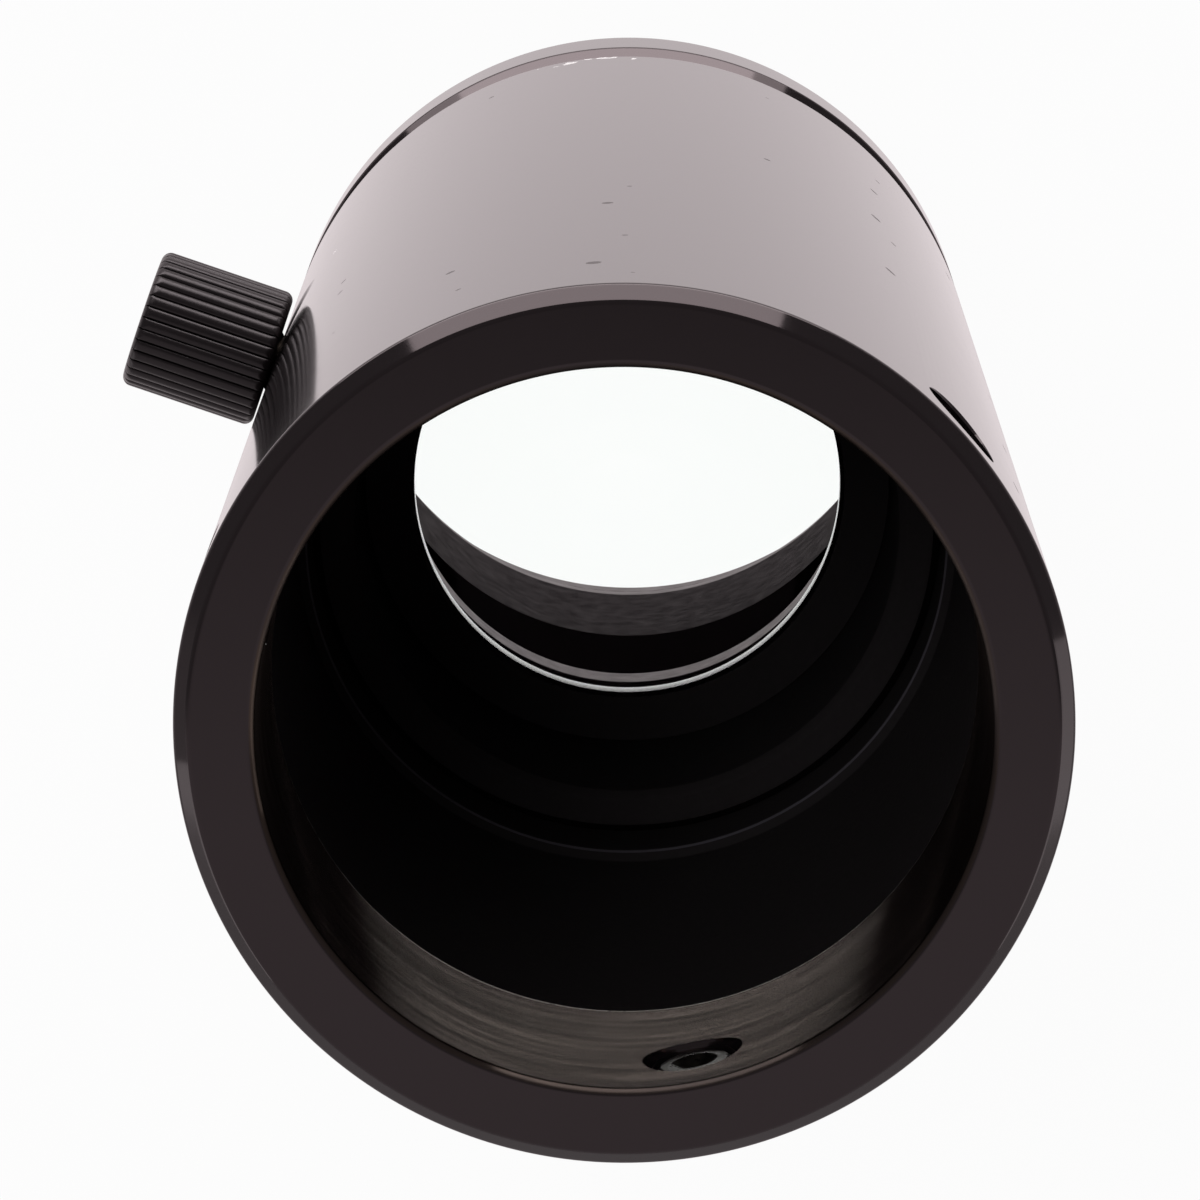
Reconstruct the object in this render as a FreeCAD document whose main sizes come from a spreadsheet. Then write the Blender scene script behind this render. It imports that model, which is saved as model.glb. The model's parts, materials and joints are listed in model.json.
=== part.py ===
import FreeCAD, Part
import os
import re
import Sketcher

# Lens mount adapter: a black anodised clamp tube that slides on a draw tube with a lens and a camera thread.
# It stands on its camera thread with the clamp mouth up. Z is the optical axis, the thumb screw is on +X.
# All sizes are millimetres.

doc = FreeCAD.newDocument("lens_mount_adapter")

# Driving dimensions
SIZES = {
    # clamp tube, turned from bar; its wall leaves a clamp bore of 38 mm
    "tube_od": 46.5,
    "tube_wall": 4.25,
    "tube_length": 100.3,
    "mouth_chamfer": 0.8,
    "tube_rear_chamfer": 0.5,
    "bore_chamfer": 0.25,
    "clamp_bore_depth": 15.2,
    "relief_depth": 0.6,
    "relief_length": 36.0,
    # how far the tube stands off the camera ring as it was last locked
    "draw_out": 3.9,
    # three clamp screws near the mouth
    "clamp_screw_count": 3,
    "clamp_screw_from_mouth": 5.2,
    "clamp_screw_size": 5.0,
    "clamp_screw_length": 3.2,
    "clamp_screw_recess": 0.3,
    "clamp_screw_hex": 2.5,
    "clamp_screw_hex_depth": 1.6,
    "cup_size": 2.5,
    "cup_depth": 0.5,
    "clamp_screw_chamfer": 0.7,
    # thumb screw that locks the tube on the draw tube
    "thumb_screw_from_mouth": 70.6,
    "stud_size": 4.0,
    "stud_chamfer": 0.5,
    "stud_tip_gap": 0.03,
    "knob_size": 8.75,
    "knob_length": 8.55,
    "knob_stand_off": 0.15,
    "knob_edge_round": 0.6,
    "knob_end_wall": 1.6,
    "flute_count": 36,
    "flute_radius": 0.33,
    # draw tube
    "draw_tube_length": 49.0,
    "draw_tube_chamfer": 0.5,
    "draw_front_wall": 2.55,
    "draw_rear_wall": 1.95,
    "lens_pocket_step": 0.6,
    "lens_seat_land": 2.75,
    "lens_seat_height": 26.3,
    "lens_seat_wall": 3.8,
    "lens_seat_taper": 0.35,
    # camera ring with its threaded nose
    "nose_od": 25.4,
    "nose_wall": 0.9,
    "nose_length": 4.0,
    "nose_chamfer": 0.4,
    "ring_thickness": 7.0,
    "ring_front_chamfer": 0.9,
    "ring_rear_chamfer": 0.3,
    "nose_lip": 1.0,
    "nose_lip_width": 0.3,
    "nose_step": 0.6,
    "spigot_length": 3.0,
    # cemented doublet
    "crown_front_radius": 52.0,
    "cemented_radius": 47.0,
    "flint_rear_radius": 140.0,
    "crown_thickness": 7.0,
    "flint_thickness": 2.5,
    "cement_gap": 0.02,
    "flint_rim": 0.5,
    # ring that holds the doublet down
    "retainer_width": 3.05,
    "retainer_thickness": 1.75,
    "retainer_chamfer": 0.3,
    # clearances, each on the radius or across the seat
    "slide_clearance": 0.05,
    "screw_clearance": 0.05,
    "fit_clearance": 0.05,
    "seat_clearance": 0.05,
}

# Radii, heights up the axis and distances out from it that follow from the driving dimensions
DERIVED = {
    "tube_r": "tube_od / 2",
    "clamp_r": "tube_r - tube_wall",
    "relief_r": "clamp_r + relief_depth",
    "ring_front": "nose_length + ring_thickness",
    "tube_rear": "ring_front + draw_out",
    "mouth": "tube_rear + tube_length",
    "clamp_bore_end": "mouth - clamp_bore_depth",
    "relief_end": "clamp_bore_end - relief_length",
    "clamp_screw_height": "mouth - clamp_screw_from_mouth",
    "clamp_screw_r": "clamp_screw_size / 2",
    "clamp_screw_tip": "clamp_r + clamp_screw_recess",
    "clamp_screw_end": "clamp_screw_tip + clamp_screw_length",
    "thumb_screw_height": "mouth - thumb_screw_from_mouth",
    "draw_tube_r": "clamp_r - slide_clearance",
    "draw_front": "ring_front + draw_tube_length",
    "draw_front_r": "draw_tube_r - draw_front_wall",
    "draw_rear_r": "draw_tube_r - draw_rear_wall",
    "seat_top": "ring_front + lens_seat_height",
    "seat_under": "seat_top - lens_seat_wall",
    "lens_pocket_r": "draw_front_r - lens_pocket_step",
    "lens_r": "lens_pocket_r - fit_clearance",
    "seat_r": "lens_pocket_r - lens_seat_land",
    "seat_edge_r": "seat_r + lens_seat_taper",
    "seat_sag": "flint_rear_radius - sqrt(flint_rear_radius ^ 2 - seat_edge_r ^ 2)",
    "flint_rear": "seat_top - seat_sag + seat_clearance",
    "flint_front": "flint_rear + flint_thickness",
    "flint_hollow_r": "lens_r - flint_rim",
    "flint_edge": "flint_front + cemented_radius - sqrt(cemented_radius ^ 2 - flint_hollow_r ^ 2)",
    "crown_rear": "flint_front + cement_gap",
    "crown_front": "crown_rear + crown_thickness",
    "retainer_outer_r": "draw_front_r - fit_clearance",
    "retainer_r": "retainer_outer_r - retainer_width",
    "retainer_sag": "crown_front_radius - sqrt(crown_front_radius ^ 2 - retainer_r ^ 2)",
    "retainer_rear": "crown_front - retainer_sag + seat_clearance",
    "retainer_front": "retainer_rear + retainer_thickness",
    "nose_r": "nose_od / 2",
    "nose_bore_r": "nose_r - nose_wall",
    "nose_lip_r": "nose_bore_r - nose_lip_width",
    "ring_bore_r": "nose_bore_r + nose_step",
    "nose_lip_top": "nose_length + nose_lip",
    "spigot_r": "draw_rear_r - fit_clearance",
    "spigot_front": "ring_front + spigot_length",
    "stud_r": "stud_size / 2",
    "stud_tip": "draw_tube_r + stud_tip_gap",
    "knob_r": "knob_size / 2",
    "knob_foot": "tube_r + knob_stand_off",
    "knob_top": "knob_foot + knob_length",
    "stud_end": "knob_top - knob_end_wall",
}

sheet = doc.addObject("Spreadsheet::Sheet", "sizes")
cells = {alias: str(value) for alias, value in SIZES.items()}
cells.update({alias: "=" + formula for alias, formula in DERIVED.items()})
for row, (alias, content) in enumerate(cells.items(), start=1):
    sheet.set(f"A{row}", alias)
    sheet.setAlias(f"B{row}", alias)
    sheet.set(f"B{row}", content)
doc.recompute()


def from_sheet(formula):
    """The formula with the name of each size pointed at the sheet."""
    return re.sub(r"[a-z_]+", lambda word: f"sizes.{word[0]}" if word[0] in cells else word[0], formula)


def value_of(formula):
    """The formula's value at the sizes now in the sheet."""
    return float(sheet.evalExpression(formula))


def origin_feature(body, role):
    """One of the body's own origin planes or axes."""
    return next(item for item in body.Origin.OriginFeatures if item.Role == role)


def new_body(label):
    body = doc.addObject("PartDesign::Body", label)
    body.Label = label
    return body


def new_sketch(body, name, role, height=None):
    """A sketch on one of the body's origin planes, raised along the plane's normal by a formula."""
    sketch = body.newObject("Sketcher::SketchObject", name)
    sketch.AttachmentSupport = [(origin_feature(body, role), "")]
    sketch.MapMode = "FlatFace"
    if height is not None:
        sketch.setExpression("AttachmentOffset.Base.z", from_sheet(height))
    return sketch


def dimension(sketch, kind, places, formula):
    """A dimension between places of the sketch, tied to the sheet."""
    index = sketch.addConstraint(Sketcher.Constraint(kind, *places, value_of(formula)))
    sketch.setExpression(f"Constraints[{index}]", from_sheet(formula))


def closed_outline(sketch, corners):
    """Straight edges through corners given as (across, up) formulas; "0" across lies on the upright axis."""
    points = [FreeCAD.Vector(value_of(across), value_of(up), 0) for across, up in corners]
    for i, point in enumerate(points):
        sketch.addGeometry(Part.LineSegment(point, points[(i + 1) % len(points)]), False)
    for i in range(len(points)):
        sketch.addConstraint(Sketcher.Constraint("Coincident", i, 2, (i + 1) % len(points), 1))
    for i, (across, up) in enumerate(corners):
        if across == "0":
            sketch.addConstraint(Sketcher.Constraint("PointOnObject", i, 1, -2))
        else:
            dimension(sketch, "DistanceX", (-1, 1, i, 1), across)
        dimension(sketch, "DistanceY", (-1, 1, i, 1), up)


def turned(body, corners):
    """The body's first feature: an outline of (radius, height) formulas turned about Z."""
    sketch = new_sketch(body, body.Label + "_outline", "XZ_Plane")
    closed_outline(sketch, corners)
    feature = body.newObject("PartDesign::Revolution", body.Label + "_turned")
    feature.Profile = sketch
    feature.ReferenceAxis = (sketch, ["V_Axis"])
    feature.Angle = 360
    doc.recompute()
    return feature


def pocket(body, sketch, name, depth, reverse=False):
    """A pocket from the sketch's plane, against its normal or along it, that must take material away."""
    before = body.Shape.Volume
    feature = body.newObject("PartDesign::Pocket", name)
    feature.Profile = sketch
    feature.Reversed = reverse
    feature.setExpression("Length", from_sheet(depth))
    doc.recompute()
    if body.Shape.Volume >= before:
        raise ValueError(name + " cuts nothing")
    return feature


def ring_of(body, feature, name, count):
    """The feature repeated evenly about Z."""
    pattern = body.newObject("PartDesign::PolarPattern", name)
    pattern.Originals = [feature]
    pattern.Axis = (origin_feature(body, "Z_Axis"), [""])
    pattern.Angle = 360
    pattern.setExpression("Occurrences", from_sheet(count))
    body.Tip = pattern
    doc.recompute()
    return pattern


def circle(sketch, radius, across=None, up=None):
    """A circle centred at (across, up) formulas, or on an axis where a formula is left out."""
    centre = FreeCAD.Vector(value_of(across) if across else 0, value_of(up) if up else 0, 0)
    index = sketch.addGeometry(Part.Circle(centre, FreeCAD.Vector(0, 0, 1), value_of(radius)), False)
    if across:
        dimension(sketch, "DistanceX", (-1, 1, index, 3), across)
    else:
        sketch.addConstraint(Sketcher.Constraint("PointOnObject", index, 3, -2))
    if up:
        dimension(sketch, "DistanceY", (-1, 1, index, 3), up)
    else:
        sketch.addConstraint(Sketcher.Constraint("PointOnObject", index, 3, -1))
    dimension(sketch, "Radius", (index,), radius)


def radial_hole(body, name, height, radius):
    """A round hole through the wall on the +X side."""
    sketch = new_sketch(body, name + "_circle", "YZ_Plane")
    circle(sketch, radius, up=height)
    return pocket(body, sketch, name, "2 * tube_r", reverse=True)


def point_outwards(body, height, turn=0.0):
    """Lay a piece that was made upright along +X at the given height, then turn it about Z."""
    about_z = FreeCAD.Rotation(FreeCAD.Vector(0, 0, 1), turn)
    upright_to_x = FreeCAD.Rotation(FreeCAD.Vector(0, 1, 0), 90)
    body.Placement = FreeCAD.Placement(FreeCAD.Vector(0, 0, 0), about_z * upright_to_x)
    body.setExpression("Placement.Base.z", from_sheet(height))


def make_clamp_tube():
    """Outer tube: clamp bore at the mouth, relieved middle, sliding bore for the draw tube, tapped holes."""
    body = new_body("clamp_tube")
    turned(body, [
        ("tube_r", "tube_rear + tube_rear_chamfer"),
        ("tube_r", "mouth - mouth_chamfer"),
        ("tube_r - mouth_chamfer", "mouth"),
        ("clamp_r + bore_chamfer", "mouth"),
        ("clamp_r", "mouth - bore_chamfer"),
        ("clamp_r", "clamp_bore_end"),
        ("relief_r", "clamp_bore_end - relief_depth"),
        ("relief_r", "relief_end + relief_depth"),
        ("clamp_r", "relief_end"),
        ("clamp_r", "tube_rear + bore_chamfer"),
        ("clamp_r + bore_chamfer", "tube_rear"),
        ("tube_r - tube_rear_chamfer", "tube_rear"),
    ])
    hole = radial_hole(body, "clamp_screw_hole", "clamp_screw_height", "clamp_screw_r + screw_clearance")
    ring_of(body, hole, "clamp_screw_holes", "clamp_screw_count")
    radial_hole(body, "thumb_screw_hole", "thumb_screw_height", "stud_r + screw_clearance")
    return body


def make_clamp_screw(letter, turn):
    """Headless socket screw with a cup point, sunk below the bore and below the outside of the tube."""
    body = new_body("clamp_screw_" + letter)
    turned(body, [
        ("0", "clamp_screw_tip + cup_depth"),
        ("cup_size / 2", "clamp_screw_tip"),
        ("clamp_screw_r - clamp_screw_chamfer", "clamp_screw_tip"),
        ("clamp_screw_r", "clamp_screw_tip + clamp_screw_chamfer"),
        ("clamp_screw_r", "clamp_screw_end - clamp_screw_chamfer / 2"),
        ("clamp_screw_r - clamp_screw_chamfer / 2", "clamp_screw_end"),
        ("0", "clamp_screw_end"),
    ])
    sketch = new_sketch(body, body.Label + "_hexagon", "XY_Plane", "clamp_screw_end")
    hexagon(sketch, "clamp_screw_hex")
    pocket(body, sketch, body.Label + "_socket", "clamp_screw_hex_depth")
    point_outwards(body, "clamp_screw_height", turn)
    return body


def hexagon(sketch, across_flats):
    """A regular hexagon about the origin with a corner on the first axis."""
    corner_r = across_flats + " / sqrt(3)"
    start = FreeCAD.Vector(value_of(corner_r), 0, 0)
    corners = [FreeCAD.Rotation(FreeCAD.Vector(0, 0, 1), 60 * i).multVec(start) for i in range(6)]
    for i in range(6):
        sketch.addGeometry(Part.LineSegment(corners[i], corners[(i + 1) % 6]), False)
    guide = sketch.addGeometry(Part.Circle(FreeCAD.Vector(), FreeCAD.Vector(0, 0, 1), start.x), True)
    sketch.addConstraint(Sketcher.Constraint("Coincident", guide, 3, -1, 1))
    for i in range(6):
        sketch.addConstraint(Sketcher.Constraint("Coincident", i, 2, (i + 1) % 6, 1))
        sketch.addConstraint(Sketcher.Constraint("PointOnObject", i, 1, guide))
    for i in range(1, 6):
        sketch.addConstraint(Sketcher.Constraint("Equal", 0, i))
    sketch.addConstraint(Sketcher.Constraint("PointOnObject", 0, 1, -1))
    dimension(sketch, "Radius", (guide,), corner_r)


def make_thumb_stud():
    """Threaded stud of the thumb screw: its flat tip bears on the draw tube, its head end is in the knob."""
    body = new_body("thumb_stud")
    turned(body, [
        ("0", "stud_tip"),
        ("stud_r - stud_chamfer", "stud_tip"),
        ("stud_r", "stud_tip + stud_chamfer"),
        ("stud_r", "stud_end - fit_clearance"),
        ("0", "stud_end - fit_clearance"),
    ])
    point_outwards(body, "thumb_screw_height")
    return body


def make_thumb_knob():
    """Moulded knob of the thumb screw with straight flutes and rounded ends."""
    body = new_body("thumb_knob")
    disc = new_sketch(body, "knob_disc", "XY_Plane", "knob_foot")
    circle(disc, "knob_r")
    pad = body.newObject("PartDesign::Pad", "knob_pad")
    pad.Profile = disc
    pad.setExpression("Length", from_sheet("knob_length"))
    doc.recompute()
    rims = [f"Edge{i}" for i, edge in enumerate(pad.Shape.Edges, start=1) if edge.isClosed()]
    ends = body.newObject("PartDesign::Fillet", "knob_rounded_ends")
    ends.Base = (pad, rims)
    ends.setExpression("Radius", from_sheet("knob_edge_round"))
    doc.recompute()
    hole = new_sketch(body, "knob_stud_circle", "XY_Plane", "knob_foot")
    circle(hole, "stud_r + screw_clearance")
    pocket(body, hole, "knob_stud_hole", "knob_length - knob_end_wall", reverse=True)
    groove = new_sketch(body, "knob_flute_circle", "XY_Plane", "knob_foot")
    circle(groove, "flute_radius", across="knob_r")
    flute = pocket(body, groove, "knob_flute", "knob_length", reverse=True)
    ring_of(body, flute, "knob_flutes", "flute_count")
    point_outwards(body, "thumb_screw_height")
    return body


def make_draw_tube():
    """Inner tube: lens pocket on a tapered shoulder, open front, rear bore for the camera ring."""
    body = new_body("draw_tube")
    turned(body, [
        ("draw_rear_r", "ring_front"),
        ("draw_tube_r", "ring_front"),
        ("draw_tube_r", "draw_front - draw_tube_chamfer"),
        ("draw_tube_r - draw_tube_chamfer", "draw_front"),
        ("draw_front_r + draw_tube_chamfer", "draw_front"),
        ("draw_front_r", "draw_front - draw_tube_chamfer"),
        ("draw_front_r", "retainer_rear"),
        ("lens_pocket_r", "retainer_rear"),
        ("lens_pocket_r", "seat_top"),
        ("seat_edge_r", "seat_top"),
        ("seat_r", "seat_under"),
        ("draw_rear_r", "seat_under"),
    ])
    return body


def make_camera_ring():
    """Rear ring: threaded nose, flange as wide as the tube, spigot, bore tapered to a light-stopping lip."""
    body = new_body("camera_ring")
    turned(body, [
        ("nose_bore_r", "0"),
        ("nose_r - nose_chamfer", "0"),
        ("nose_r", "nose_chamfer"),
        ("nose_r", "nose_length"),
        ("tube_r - ring_rear_chamfer", "nose_length"),
        ("tube_r", "nose_length + ring_rear_chamfer"),
        ("tube_r", "ring_front - ring_front_chamfer"),
        ("tube_r - ring_front_chamfer", "ring_front"),
        ("spigot_r", "ring_front"),
        ("spigot_r", "spigot_front"),
        ("ring_bore_r", "spigot_front"),
        ("nose_lip_r", "nose_lip_top"),
        ("nose_lip_r", "nose_length"),
        ("nose_bore_r", "nose_length"),
    ])
    return body


def make_lens_retainer():
    """Threaded ring that holds the doublet on its shoulder."""
    body = new_body("lens_retainer")
    turned(body, [
        ("retainer_r", "retainer_rear"),
        ("retainer_outer_r", "retainer_rear"),
        ("retainer_outer_r", "retainer_front"),
        ("retainer_r + retainer_chamfer", "retainer_front"),
        ("retainer_r", "retainer_front - retainer_chamfer"),
    ])
    return body


def cylinder(name, radius, bottom, top):
    """An upright cylinder about the axis between two heights."""
    item = doc.addObject("Part::Cylinder", name)
    item.setExpression("Radius", from_sheet(radius))
    item.setExpression("Height", from_sheet(f"{top} - ({bottom})"))
    item.setExpression("Placement.Base.z", from_sheet(bottom))
    return item


def sphere(name, radius, centre):
    """A sphere whose centre lies on the axis."""
    item = doc.addObject("Part::Sphere", name)
    item.setExpression("Radius", from_sheet(radius))
    item.setExpression("Placement.Base.z", from_sheet(centre))
    return item


def make_lens_crown():
    """Front element of the doublet: both faces bulge."""
    blank = cylinder("crown_blank", "lens_r", "crown_rear", "crown_front")
    front = sphere("crown_front_ball", "crown_front_radius", "crown_front - crown_front_radius")
    rear = sphere("crown_rear_ball", "cemented_radius", "crown_rear + cemented_radius")
    lens = doc.addObject("Part::MultiCommon", "lens_crown")
    lens.Shapes = [blank, front, rear]
    lens.Label = "lens_crown"
    return lens


def make_lens_flint():
    """Rear element of the doublet: hollow to the crown with a flat rim, slightly bulging to the rear."""
    blank = cylinder("flint_blank", "lens_r", "flint_rear", "flint_edge")
    rear = sphere("flint_rear_ball", "flint_rear_radius", "flint_rear + flint_rear_radius")
    bulged = doc.addObject("Part::MultiCommon", "flint_bulged")
    bulged.Shapes = [blank, rear]
    lens = doc.addObject("Part::Cut", "lens_flint")
    lens.Base = bulged
    lens.Tool = sphere("flint_hollow_ball", "cemented_radius", "flint_front + cemented_radius")
    lens.Label = "lens_flint"
    return lens


pieces = [make_clamp_tube(), make_thumb_stud(), make_thumb_knob(), make_draw_tube(), make_camera_ring(),
          make_lens_crown(), make_lens_flint(), make_lens_retainer()]
screw_count = round(value_of("clamp_screw_count"))
pieces += [make_clamp_screw("abcdefgh"[i], 360.0 * i / screw_count) for i in range(screw_count)]
doc.recompute()

failed = [item.Label for item in doc.Objects if "Invalid" in item.State or "Error" in item.State]
failed += [piece.Label for piece in pieces if piece.Shape.isNull() or not piece.Shape.isValid()]
if failed:
    raise ValueError("these did not build: " + ", ".join(failed))

os.makedirs("parts", exist_ok=True)
for piece in pieces:
    piece.Shape.exportStep(f"parts/{piece.Label}.step")
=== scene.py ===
import json
import math

import bmesh
import bpy
from mathutils import Matrix, Vector


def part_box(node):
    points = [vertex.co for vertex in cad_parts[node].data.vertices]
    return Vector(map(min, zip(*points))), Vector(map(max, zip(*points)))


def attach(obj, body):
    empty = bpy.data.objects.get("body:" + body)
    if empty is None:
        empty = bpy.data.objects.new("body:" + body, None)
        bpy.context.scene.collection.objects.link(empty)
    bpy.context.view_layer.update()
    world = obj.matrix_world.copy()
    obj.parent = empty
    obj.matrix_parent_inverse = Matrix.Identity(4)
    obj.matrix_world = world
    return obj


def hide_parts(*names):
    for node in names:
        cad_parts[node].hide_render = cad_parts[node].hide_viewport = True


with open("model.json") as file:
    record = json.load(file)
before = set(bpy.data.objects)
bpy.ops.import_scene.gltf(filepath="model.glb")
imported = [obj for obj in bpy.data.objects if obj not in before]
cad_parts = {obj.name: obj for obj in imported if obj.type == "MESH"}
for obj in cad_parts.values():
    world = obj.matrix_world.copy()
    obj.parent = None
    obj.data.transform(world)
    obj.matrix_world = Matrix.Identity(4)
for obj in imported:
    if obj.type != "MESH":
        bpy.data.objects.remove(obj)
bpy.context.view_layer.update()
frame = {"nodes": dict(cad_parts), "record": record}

# Camera ring: the rear flange, its spigot in the draw tube, and the nose that screws into a camera.
# It is turned from aluminium bar and black anodised; the bore is dulled against stray light.
MM = 0.001


def linear(hex_colour):
    """An sRGB hex colour as linear red, green, blue and alpha."""
    parts = [int(hex_colour[i:i + 2], 16) / 255 for i in (1, 3, 5)]
    return [p / 12.92 if p <= 0.04045 else ((p + 0.055) / 1.055) ** 2.4 for p in parts] + [1.0]


def add(tree, kind, links=None, **settings):
    """A node with its settings; links maps an input's name or number to a socket or a plain value."""
    node = tree.nodes.new(kind)
    for name, value in settings.items():
        setattr(node, name, value)
    for place, source in (links or {}).items():
        if isinstance(source, bpy.types.NodeSocket):
            tree.links.new(source, node.inputs[place])
        else:
            node.inputs[place].default_value = source
    return node


def new_material(name):
    """An empty node material, as (material, tree, output node)."""
    material = bpy.data.materials.new(name)
    material.use_nodes = True
    tree = material.node_tree
    tree.nodes.clear()
    return material, tree, add(tree, "ShaderNodeOutputMaterial")


def supported(outline, support=0.2):
    """The outline with a point close to each corner of its long edges, so that shading stays true."""
    points = []
    for k, (radius, height, finish) in enumerate(outline):
        end_radius, end_height, _ = outline[(k + 1) % len(outline)]
        length = math.hypot(end_radius - radius, end_height - height)
        points.append((radius, height, finish))
        if length > 5 * support and radius > 0 and end_radius > 0:
            for share in (support / length, 1 - support / length):
                points.append((radius + share * (end_radius - radius), height + share * (end_height - height),
                               finish))
    return points


def lathe(name, outline, finishes, segments=288):
    """A piece turned about Z from a closed outline of (radius mm, height mm, finish of the next face)."""
    mesh = bpy.data.meshes.new(name)
    work = bmesh.new()
    rings = []
    for radius, height, _ in outline:
        if radius == 0:
            rings.append([work.verts.new((0, 0, height * MM))] * segments)
            continue
        turns = [2 * math.pi * i / segments for i in range(segments)]
        rings.append([work.verts.new((radius * MM * math.cos(a), radius * MM * math.sin(a), height * MM))
                      for a in turns])
    for k, (_, _, finish) in enumerate(outline):
        near, far = rings[k], rings[(k + 1) % len(rings)]
        if near[0] is near[1] and far[0] is far[1]:
            continue
        for i in range(segments):
            j = (i + 1) % segments
            corners = list(dict.fromkeys([near[i], near[j], far[j], far[i]]))
            work.faces.new(corners).material_index = finish
    bmesh.ops.recalc_face_normals(work, faces=work.faces)
    work.to_mesh(mesh)
    work.free()
    for finish in finishes:
        mesh.materials.append(finish)
    piece = bpy.data.objects.new(name, mesh)
    bpy.context.scene.collection.objects.link(piece)
    return piece


def bake_modifiers(piece):
    """Make what the modifiers give the piece's own mesh."""
    graph = bpy.context.evaluated_depsgraph_get()
    made = bpy.data.meshes.new_from_object(piece.evaluated_get(graph), depsgraph=graph)
    piece.modifiers.clear()
    piece.data = made
    made.name = piece.name


def smooth(piece, sharp_deg=35):
    """Shade the curved faces smooth and keep the real edges."""
    piece.data.polygons.foreach_set("use_smooth", [True] * len(piece.data.polygons))
    piece.data.set_sharp_from_angle(angle=math.radians(sharp_deg))


def deburr(piece, width_mm=0.1, sharp_deg=35, finish=-1):
    """Round the corners a little, as a deburred turning has; finish is the material number of the rounds."""
    bevel = piece.modifiers.new("deburred", "BEVEL")
    bevel.width = width_mm * MM
    bevel.segments = 3
    bevel.material = finish
    bevel.limit_method = "ANGLE"
    bevel.angle_limit = math.radians(sharp_deg)
    bake_modifiers(piece)
    smooth(piece, sharp_deg)


def black_anodised(name, colour, roughness, line_mm, line_depth_mm, grain_mm, ior=1.6, wear=None):
    """Dyed and sealed anodised aluminium: a clear hard skin over black, with the tool's fine lines.

    Seen along the surface the skin mirrors what is behind it; seen square on it is nearly black.
    wear, if given, takes (tree, place, skin) and adds its own marks to the skin.
    """
    material, tree, output = new_material(name)
    place = add(tree, "ShaderNodeTexCoord").outputs["Object"]
    axes = add(tree, "ShaderNodeSeparateXYZ", {0: place})
    flat = add(tree, "ShaderNodeCombineXYZ", {0: axes.outputs[0], 1: axes.outputs[1]})
    radius = add(tree, "ShaderNodeVectorMath", {0: flat.outputs[0]}, operation="LENGTH")
    along = add(tree, "ShaderNodeMath", {0: axes.outputs["Z"], 1: radius.outputs["Value"]}, operation="ADD")
    lines = add(tree, "ShaderNodeTexNoise", {"W": along.outputs[0], "Scale": 1 / (line_mm * MM), "Detail": 3.0},
                noise_dimensions="1D")
    grain = add(tree, "ShaderNodeTexNoise", {"Vector": place, "Scale": 1 / (grain_mm * MM), "Detail": 3.0})
    gloss = add(tree, "ShaderNodeMapRange", {"Value": grain.outputs["Fac"], "From Min": 0.3, "From Max": 0.7,
                                             "To Min": roughness * 0.9, "To Max": roughness * 1.1})
    dye = add(tree, "ShaderNodeMixRGB", {"Fac": grain.outputs["Fac"], "Color1": linear(colour),
                                         "Color2": [1.4 * c for c in linear(colour)[:3]] + [1.0]})
    bump = add(tree, "ShaderNodeBump", {"Height": lines.outputs["Fac"], "Strength": 0.2,
                                        "Distance": line_depth_mm * MM})
    skin = add(tree, "ShaderNodeBsdfPrincipled", {"Base Color": dye.outputs[0], "Roughness": gloss.outputs[0],
                                                  "IOR": ior, "Specular Tint": linear("#ffe8ec"),
                                                  "Normal": bump.outputs[0]})
    tree.links.new(skin.outputs[0], output.inputs["Surface"])
    if wear:
        wear(tree, place, skin)
    return material


def thread_tree(name, finish):
    """Geometry nodes: a V-shaped ridge wound round Z, from Start upwards for Length."""
    tree = bpy.data.node_groups.new(name, "GeometryNodeTree")
    for size in ("Crest Radius", "Depth", "Pitch", "Start", "Length"):
        tree.interface.new_socket(size, in_out="INPUT", socket_type="NodeSocketFloat")
    tree.interface.new_socket("Ridge", in_out="OUTPUT", socket_type="NodeSocketGeometry")
    sizes = add(tree, "NodeGroupInput").outputs
    middle = add(tree, "ShaderNodeMath", {0: sizes["Crest Radius"], 1: sizes["Depth"]}, operation="SUBTRACT")
    turns = add(tree, "ShaderNodeMath", {0: sizes["Length"], 1: sizes["Pitch"]}, operation="DIVIDE")
    helix = add(tree, "GeometryNodeCurveSpiral", {"Resolution": 96, "Rotations": turns.outputs[0],
                                                  "Start Radius": middle.outputs[0],
                                                  "End Radius": middle.outputs[0], "Height": sizes["Length"]})
    lift = add(tree, "ShaderNodeCombineXYZ", {"Z": sizes["Start"]})
    raised = add(tree, "GeometryNodeTransform", {"Geometry": helix.outputs[0], "Translation": lift.outputs[0]})
    upright = add(tree, "GeometryNodeSetCurveNormal", {"Curve": raised.outputs[0]}, mode="Z_UP")
    section = add(tree, "GeometryNodeCurvePrimitiveCircle", {"Resolution": 4, "Radius": sizes["Depth"]})
    ridge = add(tree, "GeometryNodeCurveToMesh", {"Curve": upright.outputs[0],
                                                  "Profile Curve": section.outputs[0], "Fill Caps": True})
    real = add(tree, "GeometryNodeRealizeInstances", {0: ridge.outputs[0]})
    dressed = add(tree, "GeometryNodeSetMaterial", {"Geometry": real.outputs[0], "Material": finish})
    add(tree, "NodeGroupOutput", {0: dressed.outputs[0]})
    return tree


def grown(name, tree, sizes, mesh=None):
    """A piece made by a geometry node tree, its named sizes set, turned into a plain mesh."""
    piece = bpy.data.objects.new(name, mesh or bpy.data.meshes.new(name))
    bpy.context.scene.collection.objects.link(piece)
    modifier = piece.modifiers.new(tree.name, "NODES")
    modifier.node_group = tree
    for item in tree.interface.items_tree:
        if item.in_out == "INPUT" and item.name in sizes:
            modifier[item.identifier] = sizes[item.name]
    bake_modifiers(piece)
    return piece


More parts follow.
